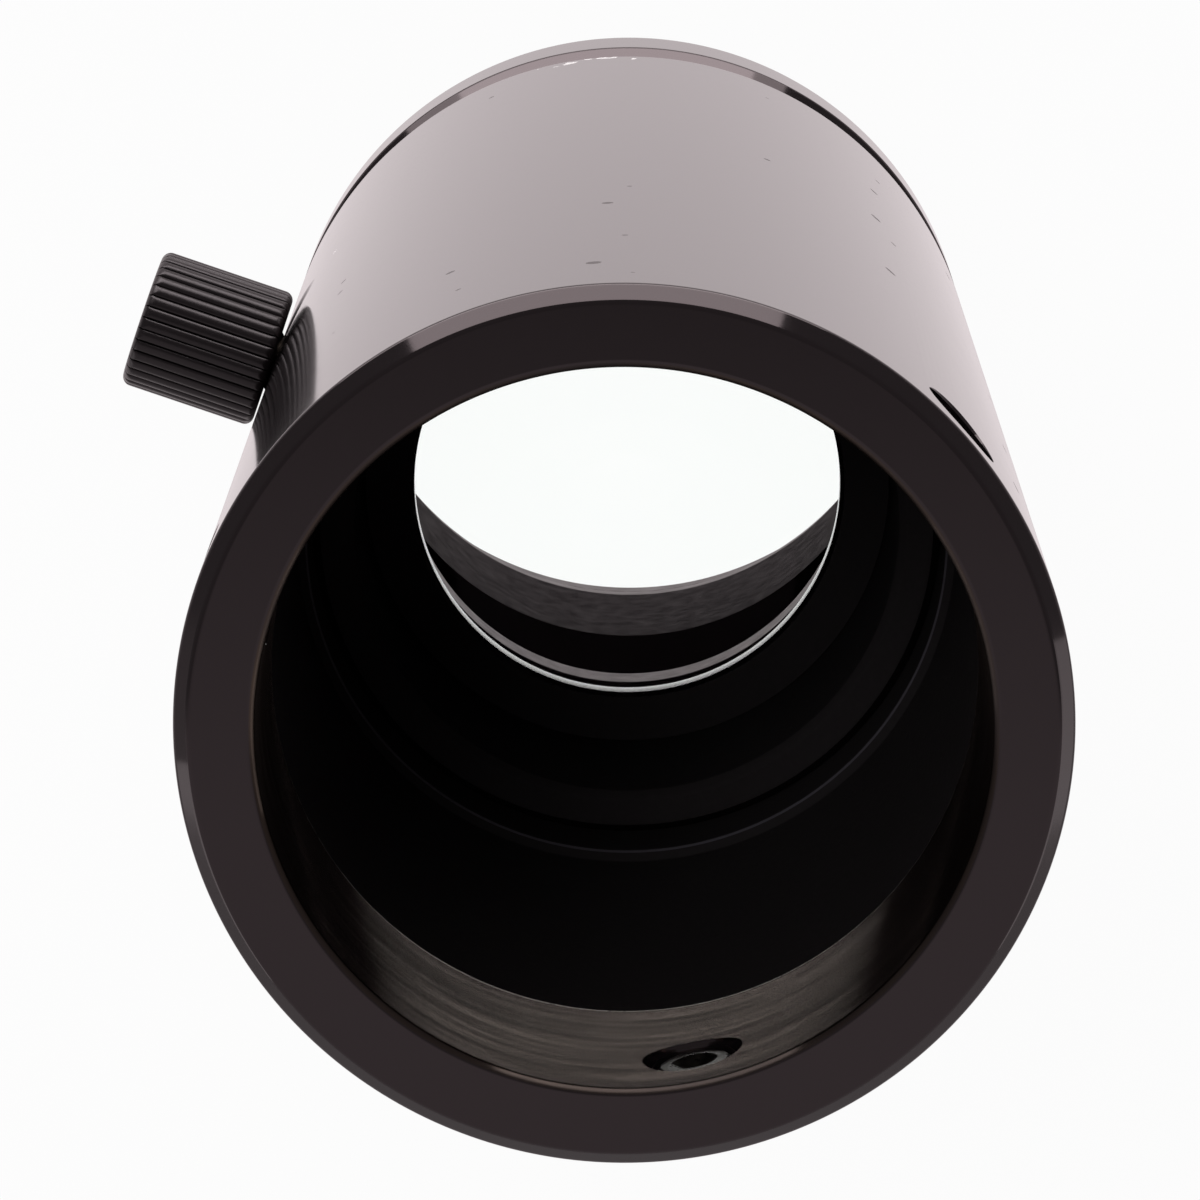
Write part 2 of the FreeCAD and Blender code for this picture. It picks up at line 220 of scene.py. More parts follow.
# Aluminium turned bright, then dyed black and sealed: the glossy outside of the tubes.
anodised = black_anodised("black anodised aluminium", "#0b090a", roughness=0.07, line_mm=0.12,
                          line_depth_mm=0.001, grain_mm=1.5)
# The same skin on a coarsely turned face: the cone in the ring, which scatters the light from the floor.
anodised_dull = black_anodised("dulled black anodised aluminium", "#302d30", roughness=0.8, line_mm=0.3,
                               line_depth_mm=0.01, grain_mm=0.6, ior=1.42)
# The same skin on a bored face: the lens seat, the nose bore and its lip.
anodised_satin = black_anodised("satin black anodised aluminium", "#0d0b0a", roughness=0.42, line_mm=0.2,
                                line_depth_mm=0.004, grain_mm=1.0)
# Anodising on a blasted face, inside the tubes, where stray light has to die.
light_trap = black_anodised("matt black inside of a tube", "#2a2728", roughness=0.9, line_mm=0.35,
                            line_depth_mm=0.02, grain_mm=0.4, ior=1.15)

ring_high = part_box("camera_ring")[1]
tube_r = ring_high.x / MM
nose_r = 12.7
nose_bore_r = 11.8
nose_lip_r = 11.5
ring_bore_r = 12.4
nose_length = 4.0
nose_lip_top = 5.0
nose_end_chamfer = 0.4
ring_front = 11.0
ring_front_chamfer = 0.9
ring_rear_chamfer = 0.3
spigot_r = 16.95
spigot_top = ring_high.z / MM
nose_thread_pitch = 25.4 / 32
nose_thread_depth = 0.45
nose_thread_start = 0.7
nose_thread_length = nose_length - nose_thread_start - 0.6
nose_root_r = nose_r - nose_thread_depth

camera_ring = lathe("camera_ring_turned", supported([
    (nose_bore_r, 0.0, 0), (nose_root_r - nose_end_chamfer, 0.0, 0), (nose_root_r, nose_end_chamfer, 0),
    (nose_root_r, nose_length, 0), (tube_r - ring_rear_chamfer, nose_length, 0),
    (tube_r, nose_length + ring_rear_chamfer, 0), (tube_r, ring_front - ring_front_chamfer, 0),
    (tube_r - ring_front_chamfer, ring_front, 0), (spigot_r, ring_front, 0), (spigot_r, spigot_top, 2),
    (ring_bore_r, spigot_top, 1), (nose_lip_r, nose_lip_top, 3), (nose_lip_r, nose_length, 3),
    (nose_bore_r, nose_length, 3),
]), [anodised, anodised_dull, light_trap, anodised_satin])
deburr(camera_ring)
nose_thread = grown("camera_nose_thread", thread_tree("screw thread", anodised), {
    "Crest Radius": nose_r * MM, "Depth": nose_thread_depth * MM, "Pitch": nose_thread_pitch * MM,
    "Start": nose_thread_start * MM, "Length": nose_thread_length * MM})
for piece in (camera_ring, nose_thread):
    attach(piece, "draw_unit")
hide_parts("camera_ring")

# Draw tube: the inner tube with the lens pocket, bored from both ends and black anodised.
# It slides in the clamp tube; the satin seat bore behind the glass is the light band inside its rim.
draw_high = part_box("draw_tube")[1]
draw_r = draw_high.x / MM
draw_front = draw_high.z / MM
draw_chamfer = 0.5
draw_front_r = 16.4
draw_rear_r = 17.0
seat_r = 13.05
seat_taper = 0.35
seat_edge_r = seat_r + seat_taper
seat_height = 26.3
seat_top = ring_front + seat_height
seat_length = 3.8
seat_under = seat_top - seat_length
lens_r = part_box("lens_crown")[1].x / MM
lens_play = 0.05
pocket_r = lens_r + lens_play
retainer_low, retainer_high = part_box("lens_retainer")
retainer_rear = retainer_low.z / MM
retainer_front = retainer_high.z / MM

draw_tube = lathe("draw_tube_turned", supported([
    (draw_rear_r, ring_front, 0), (draw_r, ring_front, 0), (draw_r, draw_front - draw_chamfer, 0),
    (draw_r - draw_chamfer, draw_front, 1), (draw_front_r + draw_chamfer, draw_front, 1),
    (draw_front_r, draw_front - draw_chamfer, 1), (draw_front_r, retainer_rear, 1),
    (pocket_r, retainer_rear, 1), (pocket_r, seat_top, 1), (seat_edge_r, seat_top, 2),
    (seat_r, seat_under, 1), (draw_rear_r, seat_under, 1),
]), [anodised, light_trap, anodised_satin])
deburr(draw_tube)
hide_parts("draw_tube")
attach(draw_tube, "draw_unit")

# Doublet: a bulging crown element and a hollow flint element, ground, polished and coated.
# They lie on the shoulder of the draw tube under the retaining ring.


def optical_glass(name, ior, colour):
    """Clear polished optical glass; its coating leaves only a faint reflection."""
    material, tree, output = new_material(name)
    place = add(tree, "ShaderNodeTexCoord").outputs["Object"]
    dust = add(tree, "ShaderNodeTexNoise", {"Vector": place, "Scale": 1 / (0.8 * MM), "Detail": 4.0})
    film = add(tree, "ShaderNodeMapRange", {"Value": dust.outputs["Fac"], "From Min": 0.66, "From Max": 0.8,
                                            "To Min": 0.0, "To Max": 0.004})
    glass = add(tree, "ShaderNodeBsdfPrincipled", {"Base Color": linear(colour), "Roughness": film.outputs[0],
                                                   "IOR": ior, "Specular Tint": linear("#74646c"),
                                                   "Transmission Weight": 1.0})
    tree.links.new(glass.outputs[0], output.inputs["Surface"])
    return material


def cap(radius, edge_r, vertex, bulge, steps=24):
    """Points of a spherical face from the axis to edge_r: bulge is 1 upwards, -1 downwards."""
    points = []
    for i in range(steps + 1):
        r = edge_r * i / steps
        points.append((r, vertex - bulge * (radius - math.sqrt(radius ** 2 - r ** 2))))
    return points


crown_front_radius = 52.0
cemented_radius = 47.0
flint_rear_radius = 140.0
crown_low, crown_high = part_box("lens_crown")
flint_low, flint_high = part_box("lens_flint")
flint_thickness = 2.5
flint_rim_width = 0.5
flint_hollow_r = lens_r - flint_rim_width

# Crown glass, the lighter glass of the pair, in front.
crown_glass = optical_glass("crown glass", 1.52, "#feffff")
# Flint glass, the denser one, cemented behind it.
flint_glass = optical_glass("flint glass", 1.65, "#fffffe")
crown_face = cap(crown_front_radius, lens_r, crown_high.z / MM, 1)
crown_back = cap(cemented_radius, lens_r, crown_low.z / MM, -1)
crown = lathe("crown_element", [(r, z, 0) for r, z in crown_face + crown_back[::-1]], [crown_glass])
flint_face = cap(cemented_radius, flint_hollow_r, flint_low.z / MM + flint_thickness, -1)
flint_back = cap(flint_rear_radius, lens_r, flint_low.z / MM, -1)
flint_rim = [(lens_r, flint_high.z / MM)]
flint = lathe("flint_element", [(r, z, 0) for r, z in flint_face + flint_rim + flint_back[::-1]],
              [flint_glass])
for element, node, slot in ((crown, "lens_crown", "crown_glass"), (flint, "lens_flint", "flint_glass")):
    smooth(element)
    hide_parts(node)
    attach(element, "draw_unit")

# Retaining ring: a thin threaded ring that holds the doublet down on its shoulder.
# It is turned and black anodised; the land of its bore mirrors the light under the glass.
retainer_r = 13.3
retainer_chamfer = 0.3
retainer_play = 0.05
retainer_outer_r = draw_front_r - retainer_play


def worn_metal(name, dark, light):
    """Metal under a thin dark skin, brighter where it is rubbed."""
    material, tree, output = new_material(name)
    place = add(tree, "ShaderNodeTexCoord").outputs["Object"]
    grain = add(tree, "ShaderNodeTexNoise", {"Vector": place, "Scale": 1 / (0.5 * MM)})
    shade = add(tree, "ShaderNodeMixRGB", {"Fac": grain.outputs["Fac"], "Color1": linear(dark),
                                           "Color2": linear(light)})
    dull = add(tree, "ShaderNodeMapRange", {"Value": grain.outputs["Fac"], "To Min": 0.2, "To Max": 0.4})
    metal = add(tree, "ShaderNodeBsdfPrincipled", {"Base Color": shade.outputs[0], "Metallic": 1.0,
                                                   "Roughness": dull.outputs[0]})
    tree.links.new(metal.outputs[0], output.inputs["Surface"])
    return material


# Aluminium where handling has taken the black skin off an edge.
rubbed_edge = worn_metal("aluminium rubbed bare at an edge", "#8d8884", "#c4bfba")
retainer = lathe("lens_retainer_turned", [
    (retainer_r, retainer_rear, 1), (retainer_outer_r, retainer_rear, 1),
    (retainer_outer_r, retainer_front, 1), (retainer_r + retainer_chamfer, retainer_front, 2),
    (retainer_r, retainer_front - retainer_chamfer, 0),
], [anodised, light_trap, rubbed_edge])
deburr(retainer, width_mm=0.06, finish=1)
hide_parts("lens_retainer")
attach(retainer, "draw_unit")

# Clamp tube: the long outer tube, turned from bar, drilled and tapped, black anodised, a little scratched.
# The clamp bore is polished by the tubes it has held; the relieved middle is matt against stray light.
tube_low, tube_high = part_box("clamp_tube")
home_gap = 0.02  # keeps the rear face a hair off the ring when the tube is pushed home
tube_rear = tube_low.z / MM + home_gap
mouth = tube_high.z / MM
clamp_mount = next(m for m in frame["record"]["mounts"] if m["name"] == "clamp_bore")
clamp_r = clamp_mount["dims"]["r_mm"]
relief_depth = 0.6
relief_r = clamp_r + relief_depth
clamp_length = 15.2
clamp_end = mouth - clamp_length
relief_length = 36.0
relief_end = clamp_end - relief_length
relief_edge = 0.15
rubbed_land = 0.15
mouth_chamfer = 0.8
bore_chamfer = 0.25
rear_chamfer = 0.5
clamp_screw_depth = 5.2
clamp_screw_height = mouth - clamp_screw_depth
thumb_depth = 70.6
thumb_height = mouth - thumb_depth
clamp_hole_r = 2.55
stud_hole_r = 2.05
hole_chamfer = 0.15


def handled(tree, place, skin):
    """Pits and dust outside, a dull patch under the knob, bare metal where the rear edge was knocked."""
    pit_cell_mm = 9
    pit_share, widest_pit = 0.66, 0.05
    dust_share, speck_width, dust_reach_mm = 0.88, 0.022, 14
    chip_band_mm, chip_mm, chip_share = 2.2, 1.1, 0.6
    rub_inner_mm, rub_outer_mm = 4.2, 5.8
    knocked_turn = math.radians(-65)
    knocked_width = math.radians(9)
    knob_spot = (tube_r * MM, 0, thumb_height * MM)
    dyed = skin.inputs["Base Color"].links[0].from_socket
    glossy = skin.inputs["Roughness"].links[0].from_socket
    axes = add(tree, "ShaderNodeSeparateXYZ", {0: place})
    flat = add(tree, "ShaderNodeCombineXYZ", {0: axes.outputs[0], 1: axes.outputs[1]})
    radius = add(tree, "ShaderNodeVectorMath", {0: flat.outputs[0]}, operation="LENGTH")
    outside = add(tree, "ShaderNodeMath", {0: radius.outputs["Value"], 1: (tube_r - 0.05) * MM},
                  operation="GREATER_THAN")
    turn = add(tree, "ShaderNodeMath", {0: axes.outputs["Y"], 1: axes.outputs["X"]}, operation="ARCTAN2")
    round_it = add(tree, "ShaderNodeMath", {0: turn.outputs[0], 1: tube_r * MM}, operation="MULTIPLY")
    unrolled = add(tree, "ShaderNodeCombineXYZ", {0: round_it.outputs[0], 1: axes.outputs["Z"]})
    cells = add(tree, "ShaderNodeTexVoronoi", {"Vector": unrolled.outputs[0], "Scale": 1 / (pit_cell_mm * MM)},
                voronoi_dimensions="2D")
    chance = add(tree, "ShaderNodeSeparateColor", {0: cells.outputs["Color"]})
    reach = add(tree, "ShaderNodeMapRange", {"Value": chance.outputs[0], "From Min": pit_share, "From Max": 1.0,
                                             "To Min": 0.0, "To Max": widest_pit})
    pit = add(tree, "ShaderNodeMath", {0: cells.outputs["Distance"], 1: reach.outputs[0]}, operation="LESS_THAN")
    pit = add(tree, "ShaderNodeMath", {0: pit.outputs[0], 1: outside.outputs[0]}, operation="MULTIPLY")
    off = add(tree, "ShaderNodeMath", {0: turn.outputs[0], 1: knocked_turn}, operation="SUBTRACT")
    off = add(tree, "ShaderNodeMath", {0: off.outputs[0]}, operation="ABSOLUTE")
    near_knocks = add(tree, "ShaderNodeMath", {0: off.outputs[0], 1: knocked_width}, operation="LESS_THAN")
    edge = add(tree, "ShaderNodeMath", {0: axes.outputs["Z"], 1: (tube_rear + chip_band_mm) * MM},
               operation="LESS_THAN")
    chips = add(tree, "ShaderNodeTexNoise", {"Vector": place, "Scale": 1 / (chip_mm * MM), "Detail": 1.0})
    chipped = add(tree, "ShaderNodeMath", {0: chips.outputs["Fac"], 1: chip_share}, operation="GREATER_THAN")
    bare = add(tree, "ShaderNodeMath", {0: near_knocks.outputs[0], 1: edge.outputs[0]}, operation="MULTIPLY")
    bare = add(tree, "ShaderNodeMath", {0: bare.outputs[0], 1: chipped.outputs[0]}, operation="MULTIPLY")
    from_knob = add(tree, "ShaderNodeVectorMath", {0: place, 1: knob_spot}, operation="DISTANCE")
    near_knob = add(tree, "ShaderNodeMath", {0: from_knob.outputs["Value"], 1: dust_reach_mm * MM},
                    operation="LESS_THAN")
    dusty = add(tree, "ShaderNodeMath", {0: chance.outputs[1], 1: dust_share}, operation="GREATER_THAN")
    speck = add(tree, "ShaderNodeMath", {0: cells.outputs["Distance"], 1: speck_width}, operation="LESS_THAN")
    speck = add(tree, "ShaderNodeMath", {0: speck.outputs[0], 1: dusty.outputs[0]}, operation="MULTIPLY")
    speck = add(tree, "ShaderNodeMath", {0: speck.outputs[0], 1: near_knob.outputs[0]}, operation="MULTIPLY")
    light = add(tree, "ShaderNodeMath", {0: bare.outputs[0], 1: speck.outputs[0]}, operation="MAXIMUM")
    rub = add(tree, "ShaderNodeMapRange", {"Value": from_knob.outputs["Value"], "From Min": rub_inner_mm * MM,
                                           "From Max": rub_outer_mm * MM, "To Min": 0.4, "To Max": 0.0})
    shade = add(tree, "ShaderNodeMixRGB", {"Fac": light.outputs[0], "Color1": dyed,
                                           "Color2": linear("#f4f2f0")})
    dull = add(tree, "ShaderNodeMath", {0: pit.outputs[0], 1: 0.3, 2: glossy}, operation="MULTIPLY_ADD")
    dull = add(tree, "ShaderNodeMath", {0: dull.outputs[0], 1: rub.outputs[0]}, operation="ADD")
    tree.links.new(shade.outputs[0], skin.inputs["Base Color"])
    tree.links.new(dull.outputs[0], skin.inputs["Roughness"])


def rubbed(tree, place, skin):
    """Brown and blue-black streaks where the skin is rubbed to the metal, its gloss drawn out along the bore."""
    streak_mm, streak_squeeze = 0.9, (0.08, 0.08, 1.0)
    squeezed = add(tree, "ShaderNodeVectorMath", {0: place, 1: streak_squeeze}, operation="MULTIPLY")
    streaks = add(tree, "ShaderNodeTexNoise", {"Vector": squeezed.outputs[0], "Scale": 1 / (streak_mm * MM),
                                               "Detail": 5.0})
    shade = add(tree, "ShaderNodeMixRGB", {"Fac": streaks.outputs["Fac"], "Color1": linear("#5a4c42"),
                                           "Color2": linear("#2c2d33")})
    gloss = add(tree, "ShaderNodeMapRange", {"Value": streaks.outputs["Fac"], "From Min": 0.35, "From Max": 0.65,
                                             "To Min": 0.18, "To Max": 0.26})
    around = add(tree, "ShaderNodeTangent", direction_type="RADIAL", axis="Z")
    tree.links.new(shade.outputs[0], skin.inputs["Base Color"])
    tree.links.new(gloss.outputs[0], skin.inputs["Roughness"])
    tree.links.new(around.outputs[0], skin.inputs["Tangent"])
    skin.inputs["Metallic"].default_value = 1.0
    skin.inputs["IOR"].default_value = 1.5
    skin.inputs["Specular Tint"].default_value = linear("#fff3ee")
    skin.inputs["Anisotropic"].default_value = 1.0
    skin.inputs["Anisotropic Rotation"].default_value = 0.25


# The glossy outside of the tube, with the marks of use.
tube_anodised = black_anodised("black anodised aluminium, handled", "#0b090a", roughness=0.07, line_mm=0.12,
                               line_depth_mm=0.001, grain_mm=1.5, wear=handled)
# The clamp bore, rubbed through to the metal by the tubes pushed into it.
bore_anodised = black_anodised("black anodised bore, rubbed", "#14100e", roughness=0.3, line_mm=0.5,
                               line_depth_mm=0.006, grain_mm=0.8, wear=rubbed)
# The step at the end of the relief, painted grey as a highlight: the faint arc in the dark bore.
step_painted_highlight = black_anodised("black anodised aluminium worn grey at a step", "#4a474d", roughness=0.8,
                           line_mm=0.3, line_depth_mm=0.01, grain_mm=0.6, ior=1.42)
clamp_tube = lathe("clamp_tube_turned", supported([
    (tube_r, tube_rear + rear_chamfer, 0), (tube_r, mouth - mouth_chamfer, 0),
    (tube_r - mouth_chamfer, mouth, 0), (clamp_r + bore_chamfer, mouth, 1), (clamp_r, mouth - bore_chamfer, 1),
    (clamp_r, clamp_end + rubbed_land, 4), (clamp_r, clamp_end, 2),
    (relief_r, clamp_end - relief_depth, 2), (relief_r, relief_end + relief_depth, 2),
    # the step at the relief's end takes the grey painted highlight
    (clamp_r + relief_edge, relief_end + relief_edge, 3), (clamp_r, relief_end, 2),
    (clamp_r, tube_rear + bore_chamfer, 0), (clamp_r + bore_chamfer, tube_rear, 0),
    (tube_r - rear_chamfer, tube_rear, 0),
]), [tube_anodised, bore_anodised, light_trap, step_painted_highlight, rubbed_edge])
deburr(clamp_tube)


def cut(piece, tools):
    """Take the tools' shapes out of the piece and throw the tools away."""
    for tool in tools:
        modifier = piece.modifiers.new("cut", "BOOLEAN")
        modifier.operation = "DIFFERENCE"
        modifier.solver = "EXACT"
        modifier.object = tool
    bake_modifiers(piece)
    for tool in tools:
        bpy.data.objects.remove(tool)


def drill(name, hole_r, height, turn):
    """A drill through the wall on the +X side, flared at both faces, turned about Z."""
    overrun, widening, bore_sag = 2, 1, 0.2
    flare = hole_r + hole_chamfer
    tool = lathe(name, [
        (0, clamp_r - overrun, 0), (flare + widening, clamp_r - overrun, 0), (flare, clamp_r - bore_sag, 0),
        (hole_r, clamp_r + hole_chamfer, 0), (hole_r, tube_r - hole_chamfer, 0), (flare, tube_r, 0),
        (flare, tube_r + overrun, 0), (0, tube_r + overrun, 0),
    ], [], segments=64)
    upright = Matrix.Translation((0, 0, height * MM)) @ Matrix.Rotation(math.pi / 2, 4, "Y")
    tool.data.transform(Matrix.Rotation(turn, 4, "Z") @ upright)
    return tool


thirds = [2 * math.pi * i / 3 for i in range(3)]
cut(clamp_tube, [drill("clamp_drill", clamp_hole_r, clamp_screw_height, turn) for turn in thirds]
    + [drill("stud_drill", stud_hole_r, thumb_height, 0.0)])
smooth(clamp_tube)
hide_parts("clamp_tube")
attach(clamp_tube, "tube_unit")

# Clamp screws: three headless socket screws with cup points, black oxide steel.
# They sit below both faces of the wall; turned in, they grip the tube in the bore.
# Hardened steel, blackened in a hot salt bath and oiled.
black_steel = worn_metal("black oxide steel", "#45403d", "#6b645f")
for letter in "abc":
    node = frame["nodes"]["clamp_screw_" + letter]
    node.data.materials.clear()
    node.data.materials.append(black_steel)

# Thumb stud: the threaded steel shank of the thumb screw, black oxide, moulded into its knob.
# Its flat tip bears on the draw tube; little of it shows until the screw is backed out.
stud_low, stud_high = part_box("thumb_stud")
stud_r = (stud_high.y - stud_low.y) / 2 / MM
stud_tip = stud_low.x / MM
stud_end = stud_high.x / MM
stud_thread_pitch = 0.7
stud_thread_depth = 0.38
stud_chamfer = 0.5
stud_tip_height = 0.2
stud_thread_inset = 0.9
to_thumb_axis = Matrix.Translation((0, 0, thumb_height * MM)) @ Matrix.Rotation(math.pi / 2, 4, "Y")

stud = lathe("thumb_stud_shank", [
    (0, stud_tip, 0), (stud_r - stud_chamfer, stud_tip, 0),
    (stud_r - stud_thread_depth, stud_tip + stud_tip_height, 0), (stud_r - stud_thread_depth, stud_end, 0),
    (0, stud_end, 0),
], [black_steel], segments=64)
stud_thread = grown("thumb_stud_thread", thread_tree("stud thread", black_steel), {
    "Crest Radius": stud_r * MM, "Depth": stud_thread_depth * MM, "Pitch": stud_thread_pitch * MM,
    "Start": (stud_tip + stud_thread_inset) * MM,
    "Length": (stud_end - stud_tip - 2 * stud_thread_inset) * MM})
for piece in (stud, stud_thread):
    smooth(piece)
    piece.data.transform(to_thumb_axis)
    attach(piece, "thumb_stud")
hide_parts("thumb_stud")

# Thumb knob: moulded black plastic with straight flutes and rounded ends, fast on the stud.
# Turned by hand, it backs the stud off the draw tube.
knob_low, knob_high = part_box("thumb_knob")
knob_r = (knob_high.y - knob_low.y) / 2 / MM
knob_foot = knob_low.x / MM
knob_top = knob_high.x / MM
knob_round = 0.6
knob_flutes = 36
knob_flute_depth = 0.34
knob_rib_power = 0.22  # the lower, the flatter the ribs and the narrower the grooves
knob_crown = 1.6
stud_play = 0.05
stud_hole = stud_r + stud_play


def moulded_plastic(name):
    """Moulded black plastic: dull, slightly grained."""
    material, tree, output = new_material(name)
    place = add(tree, "ShaderNodeTexCoord").outputs["Object"]
    grain = add(tree, "ShaderNodeTexNoise", {"Vector": place, "Scale": 1 / (0.25 * MM), "Detail": 3.0})
    shade = add(tree, "ShaderNodeMixRGB", {"Fac": grain.outputs["Fac"], "Color1": linear("#080607"),
                                           "Color2": linear("#0f0c0d")})
    bump = add(tree, "ShaderNodeBump", {"Height": grain.outputs["Fac"], "Strength": 0.4, "Distance": 0.02 * MM})
    plastic = add(tree, "ShaderNodeBsdfPrincipled", {"Base Color": shade.outputs[0], "Roughness": 0.3,
                                                     "Specular Tint": linear("#fff0f4"),
                                                     "Normal": bump.outputs[0]})
    tree.links.new(plastic.outputs[0], output.inputs["Surface"])
    return material


def flute_tree(name, finish):
    """Geometry nodes: press Flutes grooves of Depth into a turned blank, with round ribs between them."""
    tree = bpy.data.node_groups.new(name, "GeometryNodeTree")
    tree.interface.new_socket("Blank", in_out="INPUT", socket_type="NodeSocketGeometry")
    for size in ("Flutes", "Depth", "Side Radius", "Rib Power"):
        tree.interface.new_socket(size, in_out="INPUT", socket_type="NodeSocketFloat")
    tree.interface.new_socket("Knob", in_out="OUTPUT", socket_type="NodeSocketGeometry")
    sizes = add(tree, "NodeGroupInput").outputs
    axes = add(tree, "ShaderNodeSeparateXYZ", {0: add(tree, "GeometryNodeInputPosition").outputs[0]})
    flat = add(tree, "ShaderNodeCombineXYZ", {0: axes.outputs[0], 1: axes.outputs[1]})
    radius = add(tree, "ShaderNodeVectorMath", {0: flat.outputs[0]}, operation="LENGTH")
    outward = add(tree, "ShaderNodeVectorMath", {0: flat.outputs[0]}, operation="NORMALIZE")
    turn = add(tree, "ShaderNodeMath", {0: axes.outputs[1], 1: axes.outputs[0]}, operation="ARCTAN2")
    wave = add(tree, "ShaderNodeMath", {0: turn.outputs[0], 1: sizes["Flutes"]}, operation="MULTIPLY")
    wave = add(tree, "ShaderNodeMath", {0: wave.outputs[0], 1: 0.5}, operation="MULTIPLY")
    wave = add(tree, "ShaderNodeMath", {0: wave.outputs[0]}, operation="SINE")
    rib = add(tree, "ShaderNodeMath", {0: wave.outputs[0]}, operation="ABSOLUTE")
    rib = add(tree, "ShaderNodeMath", {0: rib.outputs[0], 1: sizes["Rib Power"]}, operation="POWER")
    hollow = add(tree, "ShaderNodeMath", {0: 1.0, 1: rib.outputs[0]}, operation="SUBTRACT")
    floor_r = add(tree, "ShaderNodeMath", {0: hollow.outputs[0], 1: sizes["Depth"]}, operation="MULTIPLY")
    floor_r = add(tree, "ShaderNodeMath", {0: sizes["Side Radius"], 1: floor_r.outputs[0]}, operation="SUBTRACT")
    kept = add(tree, "ShaderNodeMath", {0: radius.outputs["Value"], 1: floor_r.outputs[0]}, operation="MINIMUM")
    shrink = add(tree, "ShaderNodeMath", {0: kept.outputs[0], 1: radius.outputs["Value"]}, operation="SUBTRACT")
    shift = add(tree, "ShaderNodeVectorMath", {0: outward.outputs[0], "Scale": shrink.outputs[0]},
                operation="SCALE")
    pressed = add(tree, "GeometryNodeSetPosition", {"Geometry": sizes["Blank"], "Offset": shift.outputs[0]})
    real = add(tree, "GeometryNodeRealizeInstances", {0: pressed.outputs[0]})
    dressed = add(tree, "GeometryNodeSetMaterial", {"Geometry": real.outputs[0], "Material": finish})
    add(tree, "NodeGroupOutput", {0: dressed.outputs[0]})
    return tree


def rounded(corner_r, corner_height, radius, start_deg, steps=8):
    """Points of a quarter round about its centre, from start_deg on."""
    turns = [math.radians(start_deg + 90 * i / steps) for i in range(steps + 1)]
    return [(corner_r + radius * math.cos(a), corner_height + radius * math.sin(a), 0) for a in turns]


# Black moulded plastic with the satin skin that its mould gives it.
knob_plastic = moulded_plastic("moulded black plastic")
side_steps = 12
side_length = knob_top - knob_foot - 2 * knob_round
side = [(knob_r, knob_foot + knob_round + side_length * i / side_steps, 0) for i in range(1, side_steps)]
blank = lathe("knob_blank", [(stud_hole, knob_foot, 0)]
              + rounded(knob_r - knob_round, knob_foot + knob_round, knob_round, -90) + side
              + rounded(knob_r - knob_round, knob_top - knob_round, knob_round, 0)
              + [(0, knob_top, 0), (0, knob_top - knob_crown, 0), (stud_hole, knob_top - knob_crown, 0)],
              [knob_plastic], segments=knob_flutes * 16)
knob = grown("thumb_knob_moulded", flute_tree("knob flutes", knob_plastic), {
    "Flutes": float(knob_flutes), "Depth": knob_flute_depth * MM, "Side Radius": knob_r * MM,
    "Rib Power": knob_rib_power}, blank.data)
bpy.data.objects.remove(blank)
smooth(knob, 40)
knob.data.transform(to_thumb_axis)
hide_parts("thumb_knob")
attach(knob, "thumb_knob")

# Stage: a white floor, soft boxes, a dim room, and the camera above the mouth.
# The floor shows white to the camera and through glass; to gloss it glows as a painted pool of light, bright
# near the part, fading out and tinted pink-grey; it takes the shadow.
floor_mesh = bpy.data.meshes.new("floor")
floor_side = 6.0
corners = [(-floor_side, -floor_side, 0), (floor_side, -floor_side, 0), (floor_side, floor_side, 0),
           (-floor_side, floor_side, 0)]
floor_mesh.from_pydata(corners, [], [(0, 1, 2, 3)])
floor = bpy.data.objects.new("floor", floor_mesh)
bpy.context.scene.collection.objects.link(floor)
# White paper; to gloss it glows as a painted pool of light, bright near the part and fading out further off.
paper, tree, output = new_material("white paper floor")
ray = add(tree, "ShaderNodeLightPath").outputs
spot = add(tree, "ShaderNodeTexCoord").outputs["Object"]
reach = add(tree, "ShaderNodeVectorMath", {0: spot}, operation="LENGTH")
# painted pool of light: seen in gloss, the floor glows fully within 0.12 m of the part and fades to a tenth by
# 0.3 m
gloss_painted_pool = add(tree, "ShaderNodeMapRange", {"Value": reach.outputs["Value"], "From Min": 0.12, "From Max": 0.3,
                                         "To Min": 1.0, "To Max": 0.1})
to_camera = add(tree, "ShaderNodeMath", {0: ray["Is Camera Ray"], 1: 0.95}, operation="MULTIPLY")
painted_pool_in_gloss = add(tree, "ShaderNodeMath", {0: ray["Is Glossy Ray"], 1: gloss_painted_pool.outputs[0]}, operation="MULTIPLY")
white = add(tree, "ShaderNodeMath", {0: to_camera.outputs[0], 1: painted_pool_in_gloss.outputs[0]}, operation="MAXIMUM")
white = add(tree, "ShaderNodeMath", {0: white.outputs[0], 1: ray["Is Transmission Ray"]}, operation="MAXIMUM")
mirrored = add(tree, "ShaderNodeMath", {0: ray["Is Glossy Ray"], 1: ray["Is Transmission Ray"]},
               operation="SUBTRACT", use_clamp=True)
painted_reflection_tint = add(tree, "ShaderNodeMixRGB", {"Fac": mirrored.outputs[0], "Color1": (1, 1, 1, 1),
                                       "Color2": linear("#eee4e6")})
glow = add(tree, "ShaderNodeEmission", {"Color": painted_reflection_tint.outputs[0], "Strength": 1.0})
matt = add(tree, "ShaderNodeBsdfDiffuse", {"Color": linear("#f4f4f4")})
mix = add(tree, "ShaderNodeMixShader", {0: white.outputs[0], 1: matt.outputs[0], 2: glow.outputs[0]})
tree.links.new(mix.outputs[0], output.inputs["Surface"])
floor_mesh.materials.append(paper)

thumb_screw_turn = math.radians(161)
photo_to_part = Matrix.Rotation(-thumb_screw_turn, 4, "Z")


